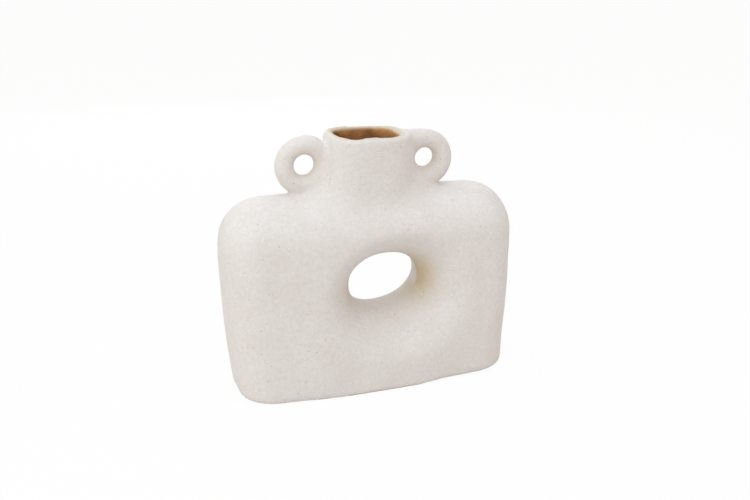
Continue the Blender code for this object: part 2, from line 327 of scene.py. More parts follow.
def body_slice(body, z, growth):
    """Half width and half depth of the body at a height, its skin moved out by the growth."""
    share = z / body.height
    width = body.foot_half_width + (body.shoulder_half_width - body.foot_half_width) * share
    width += body.swell * 4 * share * (1 - share) + growth
    depth = plain_depth(body, z) + growth
    above, below = body.height + growth - z, z - body_floor(body, growth)
    width -= drawn_in(above, body.corner_reach, body.corner_drop, body.corner_power)
    width -= drawn_in(below, body.foot_reach, body.foot_rise)
    depth -= drawn_in(above, body.dome_across + growth, body.dome_drop)
    return width, depth


def bowed(body, x, half_width):
    """By what factor the front and the back bow out at this distance from the middle."""
    return 1 + body.bow / body.foot_half_depth * max(1 - (x / half_width) ** 2, 0.0)


def foot_round(body, x, above, half_depth):
    """By what factor the foot's rounded edge narrows the body, this high above its floor."""
    radius = body.foot_edge + (body.right_foot_edge - body.foot_edge) * eased(x, *RIGHT_EDGE_SPAN)
    radius += (body.left_foot_edge - body.foot_edge) * fading(x, *LEFT_EDGE_SPAN)
    return 1 - drawn_in(above, radius, radius) / half_depth


def oblong(body, z, growth):
    """Points once round the body at a height: round corners and bowed sides."""
    half_width, half_depth = body_slice(body, z, growth)
    radius = {side: min(corner + growth, half_depth * WIDEST_CORNER)
              for side, corner in ((1, body.right_corner), (-1, body.left_corner))}
    points = []
    for quarter, (side, back) in enumerate(((1, 1), (-1, 1), (-1, -1), (1, -1))):
        start = side * (half_width - radius[side])
        for share in steps(CORNER_STEPS):
            turn = (quarter + share) * QUARTER
            points.append((start + radius[side] * cos(turn),
                           back * (half_depth - radius[side]) + radius[side] * sin(turn)))
        if quarter in (0, 2):
            end = -side * (half_width - radius[-side])
            points += [(start + (end - start) * s, back * half_depth) for s in steps(SIDE_STEPS)[1:-1]]
    low, aside = body.slump * z / body.height, body.lean * (1 - z / body.height)
    kick, above = fading(z, *KICK_SPAN), z - body_floor(body, growth)
    row = []
    for x, y in points:
        out = kick * (body.right_kick if x > 0 else -body.left_kick) * (x / half_width) ** KICK_POWER
        row.append(Vector((x + aside + out,
                           y * bowed(body, x, half_width) * foot_round(body, x, above, half_depth),
                           z - low * eased(x, *SLUMP_SPAN))))
    return row


def body_rows(body, growth):
    """Rows of points up the body, close together where its edges round off."""
    low, high = body_floor(body, growth), body.height + growth
    foot, crown = low + body.foot_rise, high - body.corner_drop
    levels = [low + (foot - low) * (1 - cos(QUARTER * s)) for s in steps(FOOT_ROWS)]
    levels += [foot + (crown - foot) * s for s in steps(WALL_ROWS)[1:]]
    levels += [crown + (high - crown) * sin(QUARTER * s) for s in steps(CROWN_ROWS)[1:]]
    return [oblong(body, z, growth) for z in levels]


def tunnel_ring(body, tunnel, widening, depth):
    """Points once round the tunnel, this far outside its throat and this far back."""
    face = plain_depth(body, tunnel.height)
    lean = max((-depth - tunnel.ridge) / (face - tunnel.ridge), 0.0) ** 2
    points = []
    for turn in range(TUNNEL_STEPS):
        across, up = oval(FULL_TURN * turn / TUNNEL_STEPS, tunnel.oval_power)
        across, up = across * (tunnel.half_width + widening), up * (tunnel.half_height + widening)
        x = tunnel.offset + tunnel.slant * depth + across * cos(tunnel.tilt) - up * sin(tunnel.tilt)
        z = tunnel.height + across * sin(tunnel.tilt) + up * cos(tunnel.tilt)
        x, z = x + tunnel.dish_right * lean, z - tunnel.dish_drop * lean
        bow = bowed(body, x, body.shoulder_half_width)
        points.append(Vector((x, depth * bow * plain_depth(body, z) / face, z)))
    return points


def flare(face, start, wide, slopes, inset):
    """Widening and depth of a flare, on an arc between two slopes; inset measures into the clay."""
    first, last = slopes
    long, rise, run = face - start, cos(first) - cos(last), sin(last) - sin(first)
    outline = []
    for share in steps(FLARE_ROWS):
        slope = first + (last - first) * share
        widening = wide * (cos(first) - cos(slope)) / rise
        depth = start + long * (sin(slope) - sin(first)) / run
        along = Vector((wide * sin(slope) / rise, long * cos(slope) / run)).normalized()
        outline.append((widening + inset * along.y, depth - inset * along.x))
    along *= 2 * inset + face * PAST_FACE
    outline.append((outline[-1][0] + along.x, outline[-1][1] + along.y))
    return outline


def tunnel_rows(body, tunnel, inset):
    """Rows of points through the tunnel from front to back."""
    face = plain_depth(body, tunnel.height)
    front = flare(face, tunnel.ridge, tunnel.front_reach, FRONT_SLOPES, inset)
    back = flare(face, tunnel.throat, tunnel.back_reach, BACK_SLOPES, inset)
    through = [(widening, -depth) for widening, depth in reversed(front)] + back
    return [tunnel_ring(body, tunnel, widening, depth) for widening, depth in through]


def crest_at(body, y):
    """Height of the domed shoulder at a depth."""
    flat = body.shoulder_half_depth - body.dome_across
    across = max(abs(y) / bowed(body, 0.0, body.shoulder_half_width) - flat, 0.0) / body.dome_across
    return body.height - body.dome_drop * (1 - sqrt(max(1 - across * across, 0.0)))


def neck_ring(body, neck, share, side_inset=0.0, inset=0.0, lift=0.0, bore=False):
    """Points once round the neck at a share of its height, moved inside its skin and up."""
    shift, skew = (neck.bore_shift, neck.bore_skew) if bore else (0.0, 0.0)
    points = []
    for place in range(NECK_STEPS):
        angle = FULL_TURN * place / NECK_STEPS
        fullness = neck.foot_power + (neck.rim_power - neck.foot_power) * share
        if bore:
            fullness = neck.bore_power + neck.bore_square * max(cos(angle), 0.0)
        across, along = oval(angle, fullness)
        seat = crest_at(body, along * (neck.half_depth + neck.front_flare))
        from_front = (angle + 3 * QUARTER) % FULL_TURN - 2 * QUARTER
        wave = neck.front_lift * (1 - along) / 2 - neck.lip_tilt * across
        wave -= neck.lip_dip * hump(from_front, *RIGHT_DENT)
        wave -= neck.left_dip * hump(from_front, *LEFT_DENT)
        up = (neck.rim + wave - seat) * share
        spread = max(1 - up / neck.flare_rise, 0.0) ** 2
        width = neck.foot_half_width + (neck.rim_half_width - neck.foot_half_width) * share
        width += neck.side_flare * spread - side_inset
        depth = neck.half_depth + neck.front_flare * spread - inset
        x = width * across + shift + skew * depth * along
        points.append(Vector((x, depth * along, seat + up + lift)))
    return points


def neck_rows(body, neck):
    """Rows of points up the outside of the neck, from the body to the top of the lip."""
    lip = neck.wall / 2
    rows = [neck_ring(body, neck, 0.0, lift=-body.wall)]
    rows += [neck_ring(body, neck, s, lift=-lip * s) for s in steps(NECK_ROWS)]
    for s in steps(LIP_ROWS)[1:]:
        inset = lip * (1 - cos(QUARTER * s))
        rows.append(neck_ring(body, neck, 1.0, inset, inset, lip * (sin(QUARTER * s) - 1)))
    return rows


def bore_rows(body, neck):
    """Rows of points up the bore, from the chamber to above the lip."""
    lip, round_in = neck.wall / 2, INNER_ROUND * neck.wall

    def bore_ring(share, back, lift):
        return neck_ring(body, neck, share, neck.side_wall - back, neck.wall - back, lift, bore=True)

    straight = [bore_ring(s, 0.0, -lip) for s in steps(BORE_ROWS)[BORE_ROWS // 2:]]
    below = [Vector((p.x, p.y, crest_at(body, p.y) - BORE_START * body.wall)) for p in straight[0]]
    rounded = [bore_ring(1.0, round_in * (1 - cos(QUARTER * s)), lip * (sin(QUARTER * s) - 1))
               for s in steps(LIP_ROWS)[1:]]
    return [below] + straight + rounded + [bore_ring(1.0, round_in, neck.wall)]


def ring_centres(rings):
    """Middles of the left and the right ring."""
    reach = rings.radius + rings.coil
    left = LEFT_RING_LOW.x + reach - rings.left_shift
    right = RIGHT_RING_HIGH.x - reach + rings.right_shift
    return (Vector((left, 0.0, LEFT_RING_HIGH.z - reach)),
            Vector((right, 0.0, RIGHT_RING_HIGH.z - reach - rings.right_drop)))


def pulled(bm, ring):
    """Extrude a closed ring of points and give the new ring in the same order."""
    edges = [bm.edges.get((ring[i - 1], ring[i])) for i in range(len(ring))]
    made = bmesh.ops.extrude_edge_only(bm, edges=edges)["geom"]
    fresh = {part for part in made if isinstance(part, bmesh.types.BMVert)}
    return [next(edge.other_vert(vert) for edge in vert.link_edges if edge.other_vert(vert) in fresh)
            for vert in ring]


def drawn_solid(name, rows):
    """A closed solid: a circle is extruded from row to row and both ends are filled."""
    bm = bmesh.new()
    ring = bmesh.ops.create_circle(bm, segments=len(rows[0]), radius=1.0)["verts"]
    for place, row in enumerate(rows):
        if place:
            ring = pulled(bm, ring)
        for vert, point in zip(ring, row):
            vert.co = point
    bmesh.ops.remove_doubles(bm, verts=bm.verts[:], dist=WELD)
    bmesh.ops.holes_fill(bm, edges=[edge for edge in bm.edges if edge.is_boundary], sides=0)
    return clay_object(name, bm)


def clay_object(name, bm):
    """Turn the shape's faces outwards and put it in the scene."""
    bmesh.ops.recalc_face_normals(bm, faces=bm.faces[:])
    mesh = bpy.data.meshes.new(name)
    bm.to_mesh(mesh)
    bm.free()
    obj = bpy.data.objects.new(name, mesh)
    bpy.context.scene.collection.objects.link(obj)
    return obj


def settled(obj):
    """Make what the modifiers give the object's own mesh."""
    view = bpy.context.evaluated_depsgraph_get()
    mesh = bpy.data.meshes.new_from_object(obj.evaluated_get(view), depsgraph=view)
    old = obj.data
    obj.modifiers.clear()
    obj.data = mesh
    bpy.data.meshes.remove(old)
    return obj


def combine(obj, tool, operation, solver="EXACT"):
    """Join a solid to the object, cut it out of it, or keep what both share."""
    step = obj.modifiers.new(operation.lower(), "BOOLEAN")
    step.operation, step.solver, step.object = operation, solver, tool
    return settled(obj)


def skin(obj):
    """A tree for measuring how far a point is from a clay piece."""
    bm = bmesh.new()
    bm.from_mesh(obj.data)
    tree = BVHTree.FromBMesh(bm)
    bm.free()
    return tree


class VASE_OT_body(bpy.types.Operator):
    """Make the body's outside, its chamber and the tunnel in wet clay"""
    bl_idname = "vase.body"
    bl_label = "Body"

    def execute(self, context):
        body, tunnel = context.scene.vase_body, context.scene.vase_tunnel
        drawn_solid("wet_body", body_rows(body, 0.0))
        drawn_solid("wet_tunnel", tunnel_rows(body, tunnel, 0.0))
        chamber = drawn_solid("wet_chamber", body_rows(body, -body.wall))
        jacket = drawn_solid("wet_jacket", tunnel_rows(body, tunnel, body.wall))
        combine(chamber, jacket, "DIFFERENCE")
        bpy.data.objects.remove(jacket)
        return {"FINISHED"}


class VASE_OT_neck(bpy.types.Operator):
    """Make the neck's outside and its bore in wet clay"""
    bl_idname = "vase.neck"
    bl_label = "Neck"

    def execute(self, context):
        body, neck = context.scene.vase_body, context.scene.vase_neck
        drawn_solid("wet_neck", neck_rows(body, neck))
        drawn_solid("wet_bore", bore_rows(body, neck))
        return {"FINISHED"}


class VASE_OT_rings(bpy.types.Operator):
    """Roll the two ring handles in wet clay"""
    bl_idname = "vase.rings"
    bl_label = "Ring handles"

    def execute(self, context):
        rings = context.scene.vase_rings
        left, right = ring_centres(rings)
        self.roll(rings, "wet_left_ring", left, rings.left_foot, 0.0, rings.left_web, LEFT_WEB)
        self.roll(rings, "wet_right_ring", right, rings.right_foot, rings.right_sill, rings.right_web,
                  RIGHT_WEB)
        return {"FINISHED"}

    def roll(self, rings, name, centre, foot, sill, web, where):
        """A coil closed into a ring, thicker below and against the neck."""
        bm = bmesh.new()
        start = Matrix.Translation((rings.radius, 0.0, 0.0))
        coil = bmesh.ops.create_circle(bm, segments=COIL_STEPS, radius=rings.coil, matrix=start)["verts"]
        bmesh.ops.spin(bm, geom=coil + bm.edges[:], cent=(0.0, 0.0, 0.0), axis=(0.0, 1.0, 0.0),
                       angle=FULL_TURN, steps=RING_STEPS, use_merge=True)
        bmesh.ops.remove_doubles(bm, verts=bm.verts[:], dist=WELD)
        for vert in bm.verts:
            turn = atan2(vert.co.z, vert.co.x)
            middle = Vector((cos(turn), 0.0, sin(turn))) * rings.radius
            outside = (vert.co.xz.length - rings.radius) / rings.coil
            full = 1 - foot * sin(turn) * (1 - outside) / 2
            full += sill * max(-outside, 0.0) * max(-sin(turn), 0.0)
            full += web * max(outside, 0.0) * hump(turn, where, WEB_WIDTH)
            vert.co = middle + (vert.co - middle) * full
        bmesh.ops.translate(bm, verts=bm.verts[:], vec=centre)
        clay_object(name, bm)


def luted(wet):
    """Join the wet pieces, hollow them out and give the vase one even mesh."""
    vase = wet["wet_body"]
    combine(vase, wet["wet_tunnel"], "DIFFERENCE")
    for name in ("wet_neck",) + WET_RINGS:
        combine(vase, wet[name], "UNION")
    for name in ("wet_chamber", "wet_bore"):
        combine(vase, wet[name], "DIFFERENCE")
    step = vase.modifiers.new("even", "REMESH")
    step.mode, step.voxel_size = "VOXEL", bpy.context.scene.vase_firing.grain
    return settled(vase)


def soften(bm, verts, count):
    """Smooth these points a number of times."""
    for _ in range(count):
        bmesh.ops.smooth_vert(bm, verts=verts, factor=0.5, use_axis_x=True, use_axis_y=True, use_axis_z=True)


def smooth_seams(bm, verts, far, scene):
    """Smooth the vase a little, and more where two pieces meet."""
    firing, neck = scene.vase_firing, scene.vase_neck

    def near(first, second, reach):
        return [v for i, v in enumerate(verts) if far[first][i] < reach and far[second][i] < reach]

    soften(bm, verts, firing.smoothing)
    for piece, seams, count in (("wet_neck", NECK_SEAMS, firing.neck_smoothing),
                                ("wet_tunnel", TUNNEL_SEAMS, firing.tunnel_smoothing)):
        for reach in seams:
            soften(bm, near(piece, "wet_body", reach), count // len(seams))
    for ring in WET_RINGS:
        for other in ("wet_body", "wet_neck"):
            soften(bm, near(ring, other, RING_SEAM), firing.ring_smoothing)
    lip = [v for v in verts if v.co.z > neck.rim - neck.wall / 2 and abs(v.co.x) < neck.rim_half_width]
    soften(bm, lip, firing.lip_smoothing)


def swell(verts, firing):
    """Give the surface slight hand-made swells, but leave the foot flat."""
    moved = []
    for vert in verts:
        place = vert.co / firing.swell_length
        rise = noise.noise(place) + FINE_SHARE * noise.noise(place * FINE_PITCH + FINE_SHIFT)
        moved.append(vert.normal * (rise * firing.unevenness * eased(vert.co.z, 0.0, GROUND_FADE)))
    for vert, move in zip(verts, moved):
        vert.co += move


def bare_mark(vert, far, neck):
    """How bare the clay is: inside, less towards the lip, and on the underside; deep in the bore it also
    sets the painted shade.
    """
    if vert.co.z < GROUND and vert.normal.z < FACING_DOWN:
        return 1.0
    below = (neck.rim - neck.lip_tilt * vert.co.x / neck.rim_half_width - vert.co.z) / neck.flare_rise
    return fading(far, *CLAY_SKIN) * min(max(below, 0.0), 1.0)


def tunnel_shade_mark(vert, far, tunnel):
    """Painted shade in the tunnel: most at its ridge and on its right wall, less where its floor faces up.
    """
    before = -vert.co.y - tunnel.ridge
    deep = fading(abs(before), *RIDGE_FADE)
    deep *= max(eased(before, *RIDGE_FRONT), eased(vert.normal.z, *FLOOR_SLOPE))
    # Painted shade: stronger on the right wall, weaker where the floor faces up.
    painted_shade_and_thin_glaze = TUNNEL_SHADE + RIGHT_WALL_SHADE * min(vert.normal.x, 0.0) ** 2
    painted_shade_and_thin_glaze -= FLOOR_LESS_SHADE * max(vert.normal.z, 0.0)
    return deep * max(painted_shade_and_thin_glaze, 0.0) * fading(far, *TUNNEL_SKIN)


def lip_mark(vert, far, neck):
    """How thin the glaze lies on the inner edge of the lip."""
    return LIP_THIN * (fading(neck.rim - vert.co.z, *LIP_FADE) * fading(far, *LIP_SKIN))


def hole_shade_mark(vert, far, centre, rings):
    """Painted shade in a ring's hole: most at its top."""
    edge = rings.radius - HOLE_EDGE * rings.coil
    hollow = fading((vert.co - centre).xz.length, rings.radius - rings.coil, edge) * fading(far, *HOLE_SKIN)
    return hollow * (HOLE_SHADE + HOLE_ROOF_SHADE * max(-vert.normal.z, 0.0))


class VASE_OT_fire(bpy.types.Operator):
    """Join the wet pieces, smooth their seams and fire the vase with its glaze"""
    bl_idname = "vase.fire"
    bl_label = "Join and fire"

    def execute(self, context):
        scene = context.scene
        neck, rings = scene.vase_neck, scene.vase_rings
        wet = {name: bpy.data.objects[name] for name in WET_PIECES}
        skins = {name: skin(obj) for name, obj in wet.items()}
        vase = luted(wet)
        for name in WET_PIECES[1:]:
            bpy.data.objects.remove(wet[name])
        bm = bmesh.new()
        bm.from_mesh(vase.data)
        bare, painted_shade_and_thin_glaze = (bm.verts.layers.float.new(name) for name in MARKS)
        verts = bm.verts[:]
        far = {name: [tree.find_nearest(vert.co)[3] for vert in verts] for name, tree in skins.items()}
        smooth_seams(bm, verts, far, scene)
        bm.normal_update()
        swell(verts, scene.vase_firing)
        holes = list(zip(WET_RINGS, ring_centres(rings)))
        for i, vert in enumerate(verts):
            vert[bare] = bare_mark(vert, min(far["wet_chamber"][i], far["wet_bore"][i]), neck)
            # One mark holds the painted shade in the tunnel and the ring holes and the thin glaze on the
            # lip.
            vert[painted_shade_and_thin_glaze] = max(tunnel_shade_mark(vert, far["wet_tunnel"][i], scene.vase_tunnel),
                             lip_mark(vert, far["wet_bore"][i], neck),
                             *(hole_shade_mark(vert, far[name][i], centre, rings) for name, centre in holes))
        bm.to_mesh(vase.data)
        bm.free()
        vase.name = vase.data.name = "fired_vase"
        return {"FINISHED"}


def block(name, low, high):
    """A plain box between two corners."""
    bm = bmesh.new()
    low, high = Vector(low), Vector(high)
    bmesh.ops.create_cube(bm, size=1.0)
    bmesh.ops.scale(bm, verts=bm.verts[:], vec=high - low)
    bmesh.ops.translate(bm, verts=bm.verts[:], vec=(low + high) / 2)
    return clay_object(name, bm)


def ring_joint(scene, side):
    """A box round one ring, outside the neck and above the shoulder."""
    body, neck, rings = scene.vase_body, scene.vase_neck, scene.vase_rings
    half_depth = rings.coil * (1 + rings.right_foot) + body.wall / 2
    ends = sorted((side * (neck.foot_half_width - NECK_CLEAR), side * body.shoulder_half_width))
    seat = body.height + SHOULDER_CLEAR - (body.slump if side > 0 else 0.0)
    return block("ring_joint", (ends[0], -half_depth, seat), (ends[1], half_depth, neck.rim + body.wall))


def neck_joint(scene):
    """The cut under the neck: a cone through the shell, then straight up round the soft foot."""
    body, neck = scene.vase_body, scene.vase_neck
    inner = neck_ring(body, neck, 0.0, neck.side_flare + neck.side_wall + body.wall / 2,
                      neck.front_flare + neck.wall + body.wall / 2, -body.wall)
    outer = neck_ring(body, neck, 0.0, -NECK_CLEAR, -NECK_CLEAR, -NECK_CUT * body.wall)
    above = [Vector((p.x, p.y, neck.rim + body.wall)) for p in outer]
    return drawn_solid("neck_joint", [inner, outer, above])


def base_joint(scene):
    """The cut round the base slab, half a wall inside the flat foot."""
    body = scene.vase_body
    ground = oblong(body, 0.0, 0.0)
    half_width, half_depth = (max(p[axis] for p in ground) for axis in (0, 1))
    inset = body.wall / 2
    rows = [[Vector((p.x * (1 - inset / half_width), p.y * (1 - inset / half_depth), z)) for p in ground]
            for z in (-body.wall, body.base + SLAB_CLEAR)]
    return drawn_solid("base_joint", rows)


def collar_joint(scene):
    """The cut round the collar of clay that joins the tunnel's two flares."""
    body, tunnel = scene.vase_body, scene.vase_tunnel
    rows = [tunnel_ring(body, tunnel, 2 * body.wall, depth) for depth in (-tunnel.collar, tunnel.collar)]
    return drawn_solid("collar_joint", rows)


def front_joint(scene):
    """Everything in front of the seam between the two shells."""
    reach = 2 * scene.vase_body.shoulder_half_width
    return block("front_joint", (-reach, -reach, -reach), (reach, 0.0, reach))


def cut_off(rest, cutter):
    """Take what lies in the cutter off the rest, as an object of its own."""
    piece = rest.copy()
    piece.data = rest.data.copy()
    bpy.context.scene.collection.objects.link(piece)
    combine(piece, cutter, "INTERSECT", "MANIFOLD")
    combine(rest, cutter, "DIFFERENCE", "MANIFOLD")
    bpy.data.objects.remove(cutter)
    return piece


def remembered(vase):
    """The fired vase's points in a tree, with the normal and the marks of each."""
    verts = vase.data.vertices
    tree = KDTree(len(verts))
    for place, vert in enumerate(verts):
        tree.insert(vert.co, place)
    tree.balance()
    marks = {name: [item.value for item in vase.data.attributes[name].data] for name in MARKS}
    return tree, [vert.normal.copy() for vert in verts], marks


def recall(mesh, memory):
    """Give a piece's points the fired vase's normals and marks, so that no joint shows."""
    tree, normals, marks = memory
    turned, values = [], {name: [] for name in marks}
    for vert in mesh.vertices:
        near = [(1 / (far + 1e-9), place) for _, place, far in tree.find_n(vert.co, NEAREST)]
        total = sum(weight for weight, _ in near)
        turned.append(sum((normals[place] * weight for weight, place in near), Vector()).normalized())
        for name, mark in marks.items():
            values[name].append(sum(mark[place] * weight for weight, place in near) / total)
    for name, value in values.items():
        layer = mesh.attributes.get(name) or mesh.attributes.new(name, "FLOAT", "POINT")
        layer.data.foreach_set("value", value)
    mesh.shade_smooth()
    mesh.normals_split_custom_set_from_vertices(turned)


class VASE_OT_part(bpy.types.Operator):
    """Part the fired vase at its joints, into one object for each piece of clay"""
    bl_idname = "vase.part"
    bl_label = "Part at the joints"

    def execute(self, context):
        scene = context.scene
        rest = bpy.data.objects["fired_vase"]
        memory = remembered(rest)
        pieces = {"left_ring_handle": cut_off(rest, ring_joint(scene, -1)),
                  "right_ring_handle": cut_off(rest, ring_joint(scene, 1)),
                  "neck": cut_off(rest, neck_joint(scene)),
                  "base_slab": cut_off(rest, base_joint(scene)),
                  "tunnel_sleeve": cut_off(rest, collar_joint(scene)),
                  "front_shell": cut_off(rest, front_joint(scene)),
                  "back_shell": rest}
        glaze, clay = finishes(scene.vase_finish)
        for name, piece in pieces.items():
            piece.name = piece.data.name = "fired_" + name
            recall(piece.data, memory)
            piece.data.materials.clear()
            piece.data.materials.append(clay if name == "base_slab" else glaze)
            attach(piece, "root")
            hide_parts(name)
        return {"FINISHED"}


def feed(tree, value, socket):
    """Give a socket its value: another socket, a number or a colour."""
    if isinstance(value, bpy.types.NodeSocket):
        tree.links.new(value, socket)
    else:
        socket.default_value = value


def node(tree, kind, **values):
    """Add a node; values for its settings, or for its inputs by socket name."""
    made = tree.nodes.new(kind)
    for name, value in values.items():
        if hasattr(made, name):
            setattr(made, name, value)
        else:
            feed(tree, value, made.inputs[name.replace("_", " ")])
    return made


def group(name, inputs, output):
    """An empty node group; each socket is a label, a kind and, for a number, a default."""
    tree = bpy.data.node_groups.new(name, "ShaderNodeTree")
    for label, kind, *default in [("Vector", "Vector")] + inputs:
        socket = tree.interface.new_socket(label, in_out="INPUT", socket_type="NodeSocket" + kind)
        if default:
            socket.default_value = default[0]
    label, kind = output
    tree.interface.new_socket(label, in_out="OUTPUT", socket_type="NodeSocket" + kind)
    return tree, tree.nodes.new("NodeGroupInput").outputs, tree.nodes.new("NodeGroupOutput").inputs


def maths(tree, operation, first, second):
    """A Math node; each value is a socket or a number."""
    made = node(tree, "ShaderNodeMath", operation=operation)
    feed(tree, first, made.inputs[0])
    feed(tree, second, made.inputs[1])
    return made.outputs[0]


def ramp(tree, value, low, high, start=0.0, end=1.0):
    """A smooth change from start to end while the value goes from low to high."""
    return node(tree, "ShaderNodeMapRange", interpolation_type="SMOOTHSTEP", Value=value,
                From_Min=low, From_Max=high, To_Min=start, To_Max=end).outputs[0]


def mixed(tree, share, first, second):
    """A colour between two others; each value is a socket or a colour."""
    made = node(tree, "ShaderNodeMix", data_type="RGBA")
    for place, value in ((0, share), (6, first), (7, second)):
        feed(tree, value, made.inputs[place])
    return made.outputs[2]


def speck_group():
    """Scattered specks: some cells of a cell pattern hold one, of its own size and depth."""
    inputs = [("Scale", "Float", 300.0), ("Size", "Float", 0.3), ("Share", "Float", 0.2)]
    tree, given, out = group("scattered_specks", inputs, ("Mask", "Float"))
    cells = node(tree, "ShaderNodeTexVoronoi", Vector=given["Vector"], Scale=given["Scale"])
    chance = node(tree, "ShaderNodeSeparateColor", Color=cells.outputs["Color"]).outputs
    held = maths(tree, "LESS_THAN", chance[0], given["Share"])
    size = maths(tree, "MULTIPLY", given["Size"], ramp(tree, chance[1], 0.0, 1.0, 0.45, 1.15))
    spot = ramp(tree, cells.outputs["Distance"], maths(tree, "MULTIPLY", size, 0.45), size, 1.0, 0.0)
    depth = maths(tree, "MULTIPLY", held, ramp(tree, chance[2], 0.0, 1.0, 0.4, 1.0))
    feed(tree, maths(tree, "MULTIPLY", spot, depth), out[0])
    return tree


def grain_group():
    """Sandy grain: coarse and fine noise."""
    tree, given, out = group("sandy_grain", [("Scale", "Float", 900.0)], ("Height", "Float"))
    wide = maths(tree, "MULTIPLY", given["Scale"], 0.28)
    fine = node(tree, "ShaderNodeTexNoise", Vector=given["Vector"], Scale=given["Scale"],
                Detail=3.0, Roughness=0.6)
    coarse = node(tree, "ShaderNodeTexNoise", Vector=given["Vector"], Scale=wide, Detail=2.0, Roughness=0.5)
    feed(tree, maths(tree, "ADD", maths(tree, "MULTIPLY", fine.outputs[0], 0.6),
                     maths(tree, "MULTIPLY", coarse.outputs[0], 0.4)), out[0])
    return tree


def clay_group():
    """Bare fired clay: burnt, with tan drifts that painted light widens to the right, and burnt sand."""
    inputs = [("Sand", "Float", 0.5), ("Flash", "Float", 0.0), ("Clay", "Color"), ("Burnt", "Color")]
    tree, given, out = group("bare_fired_clay", inputs, ("Color", "Color"))
    drift = node(tree, "ShaderNodeTexNoise", Vector=given["Vector"], Scale=26.0, Detail=3.0, Roughness=0.55)
    place = node(tree, "ShaderNodeSeparateXYZ", Vector=given["Vector"])
    # Painted light: the clay turns lighter towards the right, as the bore's right inner wall does where
    # light falls on it.
    aside = maths(tree, "MAXIMUM", maths(tree, "SUBTRACT", place.outputs["X"], PAINTED_LIGHT_START), 0.0)
    drift_with_painted_light = maths(tree, "SUBTRACT", drift.outputs[0], maths(tree, "MULTIPLY", aside, given["Flash"]))
    toned = mixed(tree, ramp(tree, drift_with_painted_light, 0.2, 0.6), given["Clay"], given["Burnt"])
    sandy = ramp(tree, given["Sand"], 0.35, 0.62, 0.35, 0.0)
    feed(tree, mixed(tree, sandy, toned, given["Burnt"]), out[0])
    return tree


def placed(tree, made_group, vector, **values):
    """Place a node group in a material with its own values."""
    return node(tree, "ShaderNodeGroup", node_tree=made_group, Vector=vector, **values).outputs[0]


def plain_material(name, shine):
    """A new material, with its nodes and its shader's inputs."""
    material = bpy.data.materials.new(name)
    material.use_nodes = True
    shader = material.node_tree.nodes["Principled BSDF"].inputs
    shader["Specular IOR Level"].default_value = shine
    return material, material.node_tree, shader


def roughened(tree, shader, height, strength):
    """Link a height to the shader's normal as a fine bump."""
    bump = node(tree, "ShaderNodeBump", Strength=strength, Distance=BUMP_HEIGHT, Height=height)
    feed(tree, bump.outputs[0], shader["Normal"])


def clay_material(finish, grain, clay):
    """Unglazed clay of the base slab."""
    material, tree, shader = plain_material("bare_tan_clay", 0.30)
    where = node(tree, "ShaderNodeTexCoord").outputs["Object"]
    sand = placed(tree, grain, where, Scale=SAND_SCALE)
    # A faint share of the painted lightening towards the right.
    tone = placed(tree, clay, where, Sand=sand, Flash=0.8, Clay=finish.clay, Burnt=finish.slab_clay)
    feed(tree, tone, shader["Base Color"])
    feed(tree, ramp(tree, sand, 0.3, 0.7, 0.97, 0.85), shader["Roughness"])
    roughened(tree, shader, sand, 0.5)
    return material


def glaze_material(finish, grain, clay, specks):
    """Matte speckled glaze, with bare clay, thin glaze and painted shade where the mesh's marks say so."""
    material, tree, shader = plain_material("speckled_glaze_over_clay", 0.30)
    where = node(tree, "ShaderNodeTexCoord").outputs["Object"]
    bare, painted_shade_and_thin_glaze = (node(tree, "ShaderNodeAttribute", attribute_name=name).outputs["Fac"] for name in MARKS)
    wobble = maths(tree, "SUBTRACT", placed(tree, grain, where, Scale=WOBBLE_SCALE), 0.5)
    edge = maths(tree, "ADD", bare, maths(tree, "MULTIPLY", wobble, 0.06))
    sand = placed(tree, grain, where, Scale=SAND_SCALE)
    cloud = placed(tree, grain, where, Scale=CLOUD_SCALE)
    pale = placed(tree, specks, where, Scale=310.0, Size=0.20, Share=0.30)
    dark = placed(tree, specks, where, Scale=300.0, Size=0.21, Share=0.42)
    pits = placed(tree, specks, where, Scale=240.0, Size=0.20, Share=0.14)

    # Thin glaze on the lip, and painted shade in the tunnel and the ring holes, where the mesh's mark says
    # so.
    uneven = maths(tree, "MULTIPLY", painted_shade_and_thin_glaze, ramp(tree, wobble, -0.3, 0.2, 0.75, 1.0))
    glaze = mixed(tree, uneven, finish.glaze, finish.thin_glaze_and_painted_shade)
    glaze = mixed(tree, ramp(tree, cloud, 0.42, 0.62, 0.0, 0.14), glaze, finish.sand)
    glaze = mixed(tree, ramp(tree, sand, 0.38, 0.60, 0.30, 0.0), glaze, finish.sand)
    glaze = mixed(tree, pale, glaze, finish.pale_speck)
    glaze = mixed(tree, dark, glaze, finish.dark_speck)

    # From the lip inwards: thin glaze, then bare clay, and deeper down painted shade in the burnt clay's
    # colour.
    # Painted light on the bore's right inner wall: the clay turns lighter towards the right.
    raw = placed(tree, clay, where, Sand=sand, Flash=20.0, Clay=finish.clay, Burnt=finish.burnt_clay_and_shade)
    raw = mixed(tree, ramp(tree, edge, 0.22, 0.50, 0.0, 0.3), raw, finish.burnt_clay_and_shade)
    raw = mixed(tree, ramp(tree, edge, 0.08, 0.22, 0.85, 0.0), raw, finish.thin_glaze_and_painted_shade)
    feed(tree, mixed(tree, ramp(tree, edge, 0.07, 0.13), glaze, raw), shader["Base Color"])
    feed(tree, ramp(tree, sand, 0.3, 0.7, 0.95, 0.78), shader["Roughness"])
    roughened(tree, shader, maths(tree, "SUBTRACT", sand, pits), 0.35)
    return material


def finishes(finish):
    """The glaze and the bare clay, which share their grain."""
    grain, clay = grain_group(), clay_group()
    return glaze_material(finish, grain, clay, speck_group()), clay_material(finish, grain, clay)


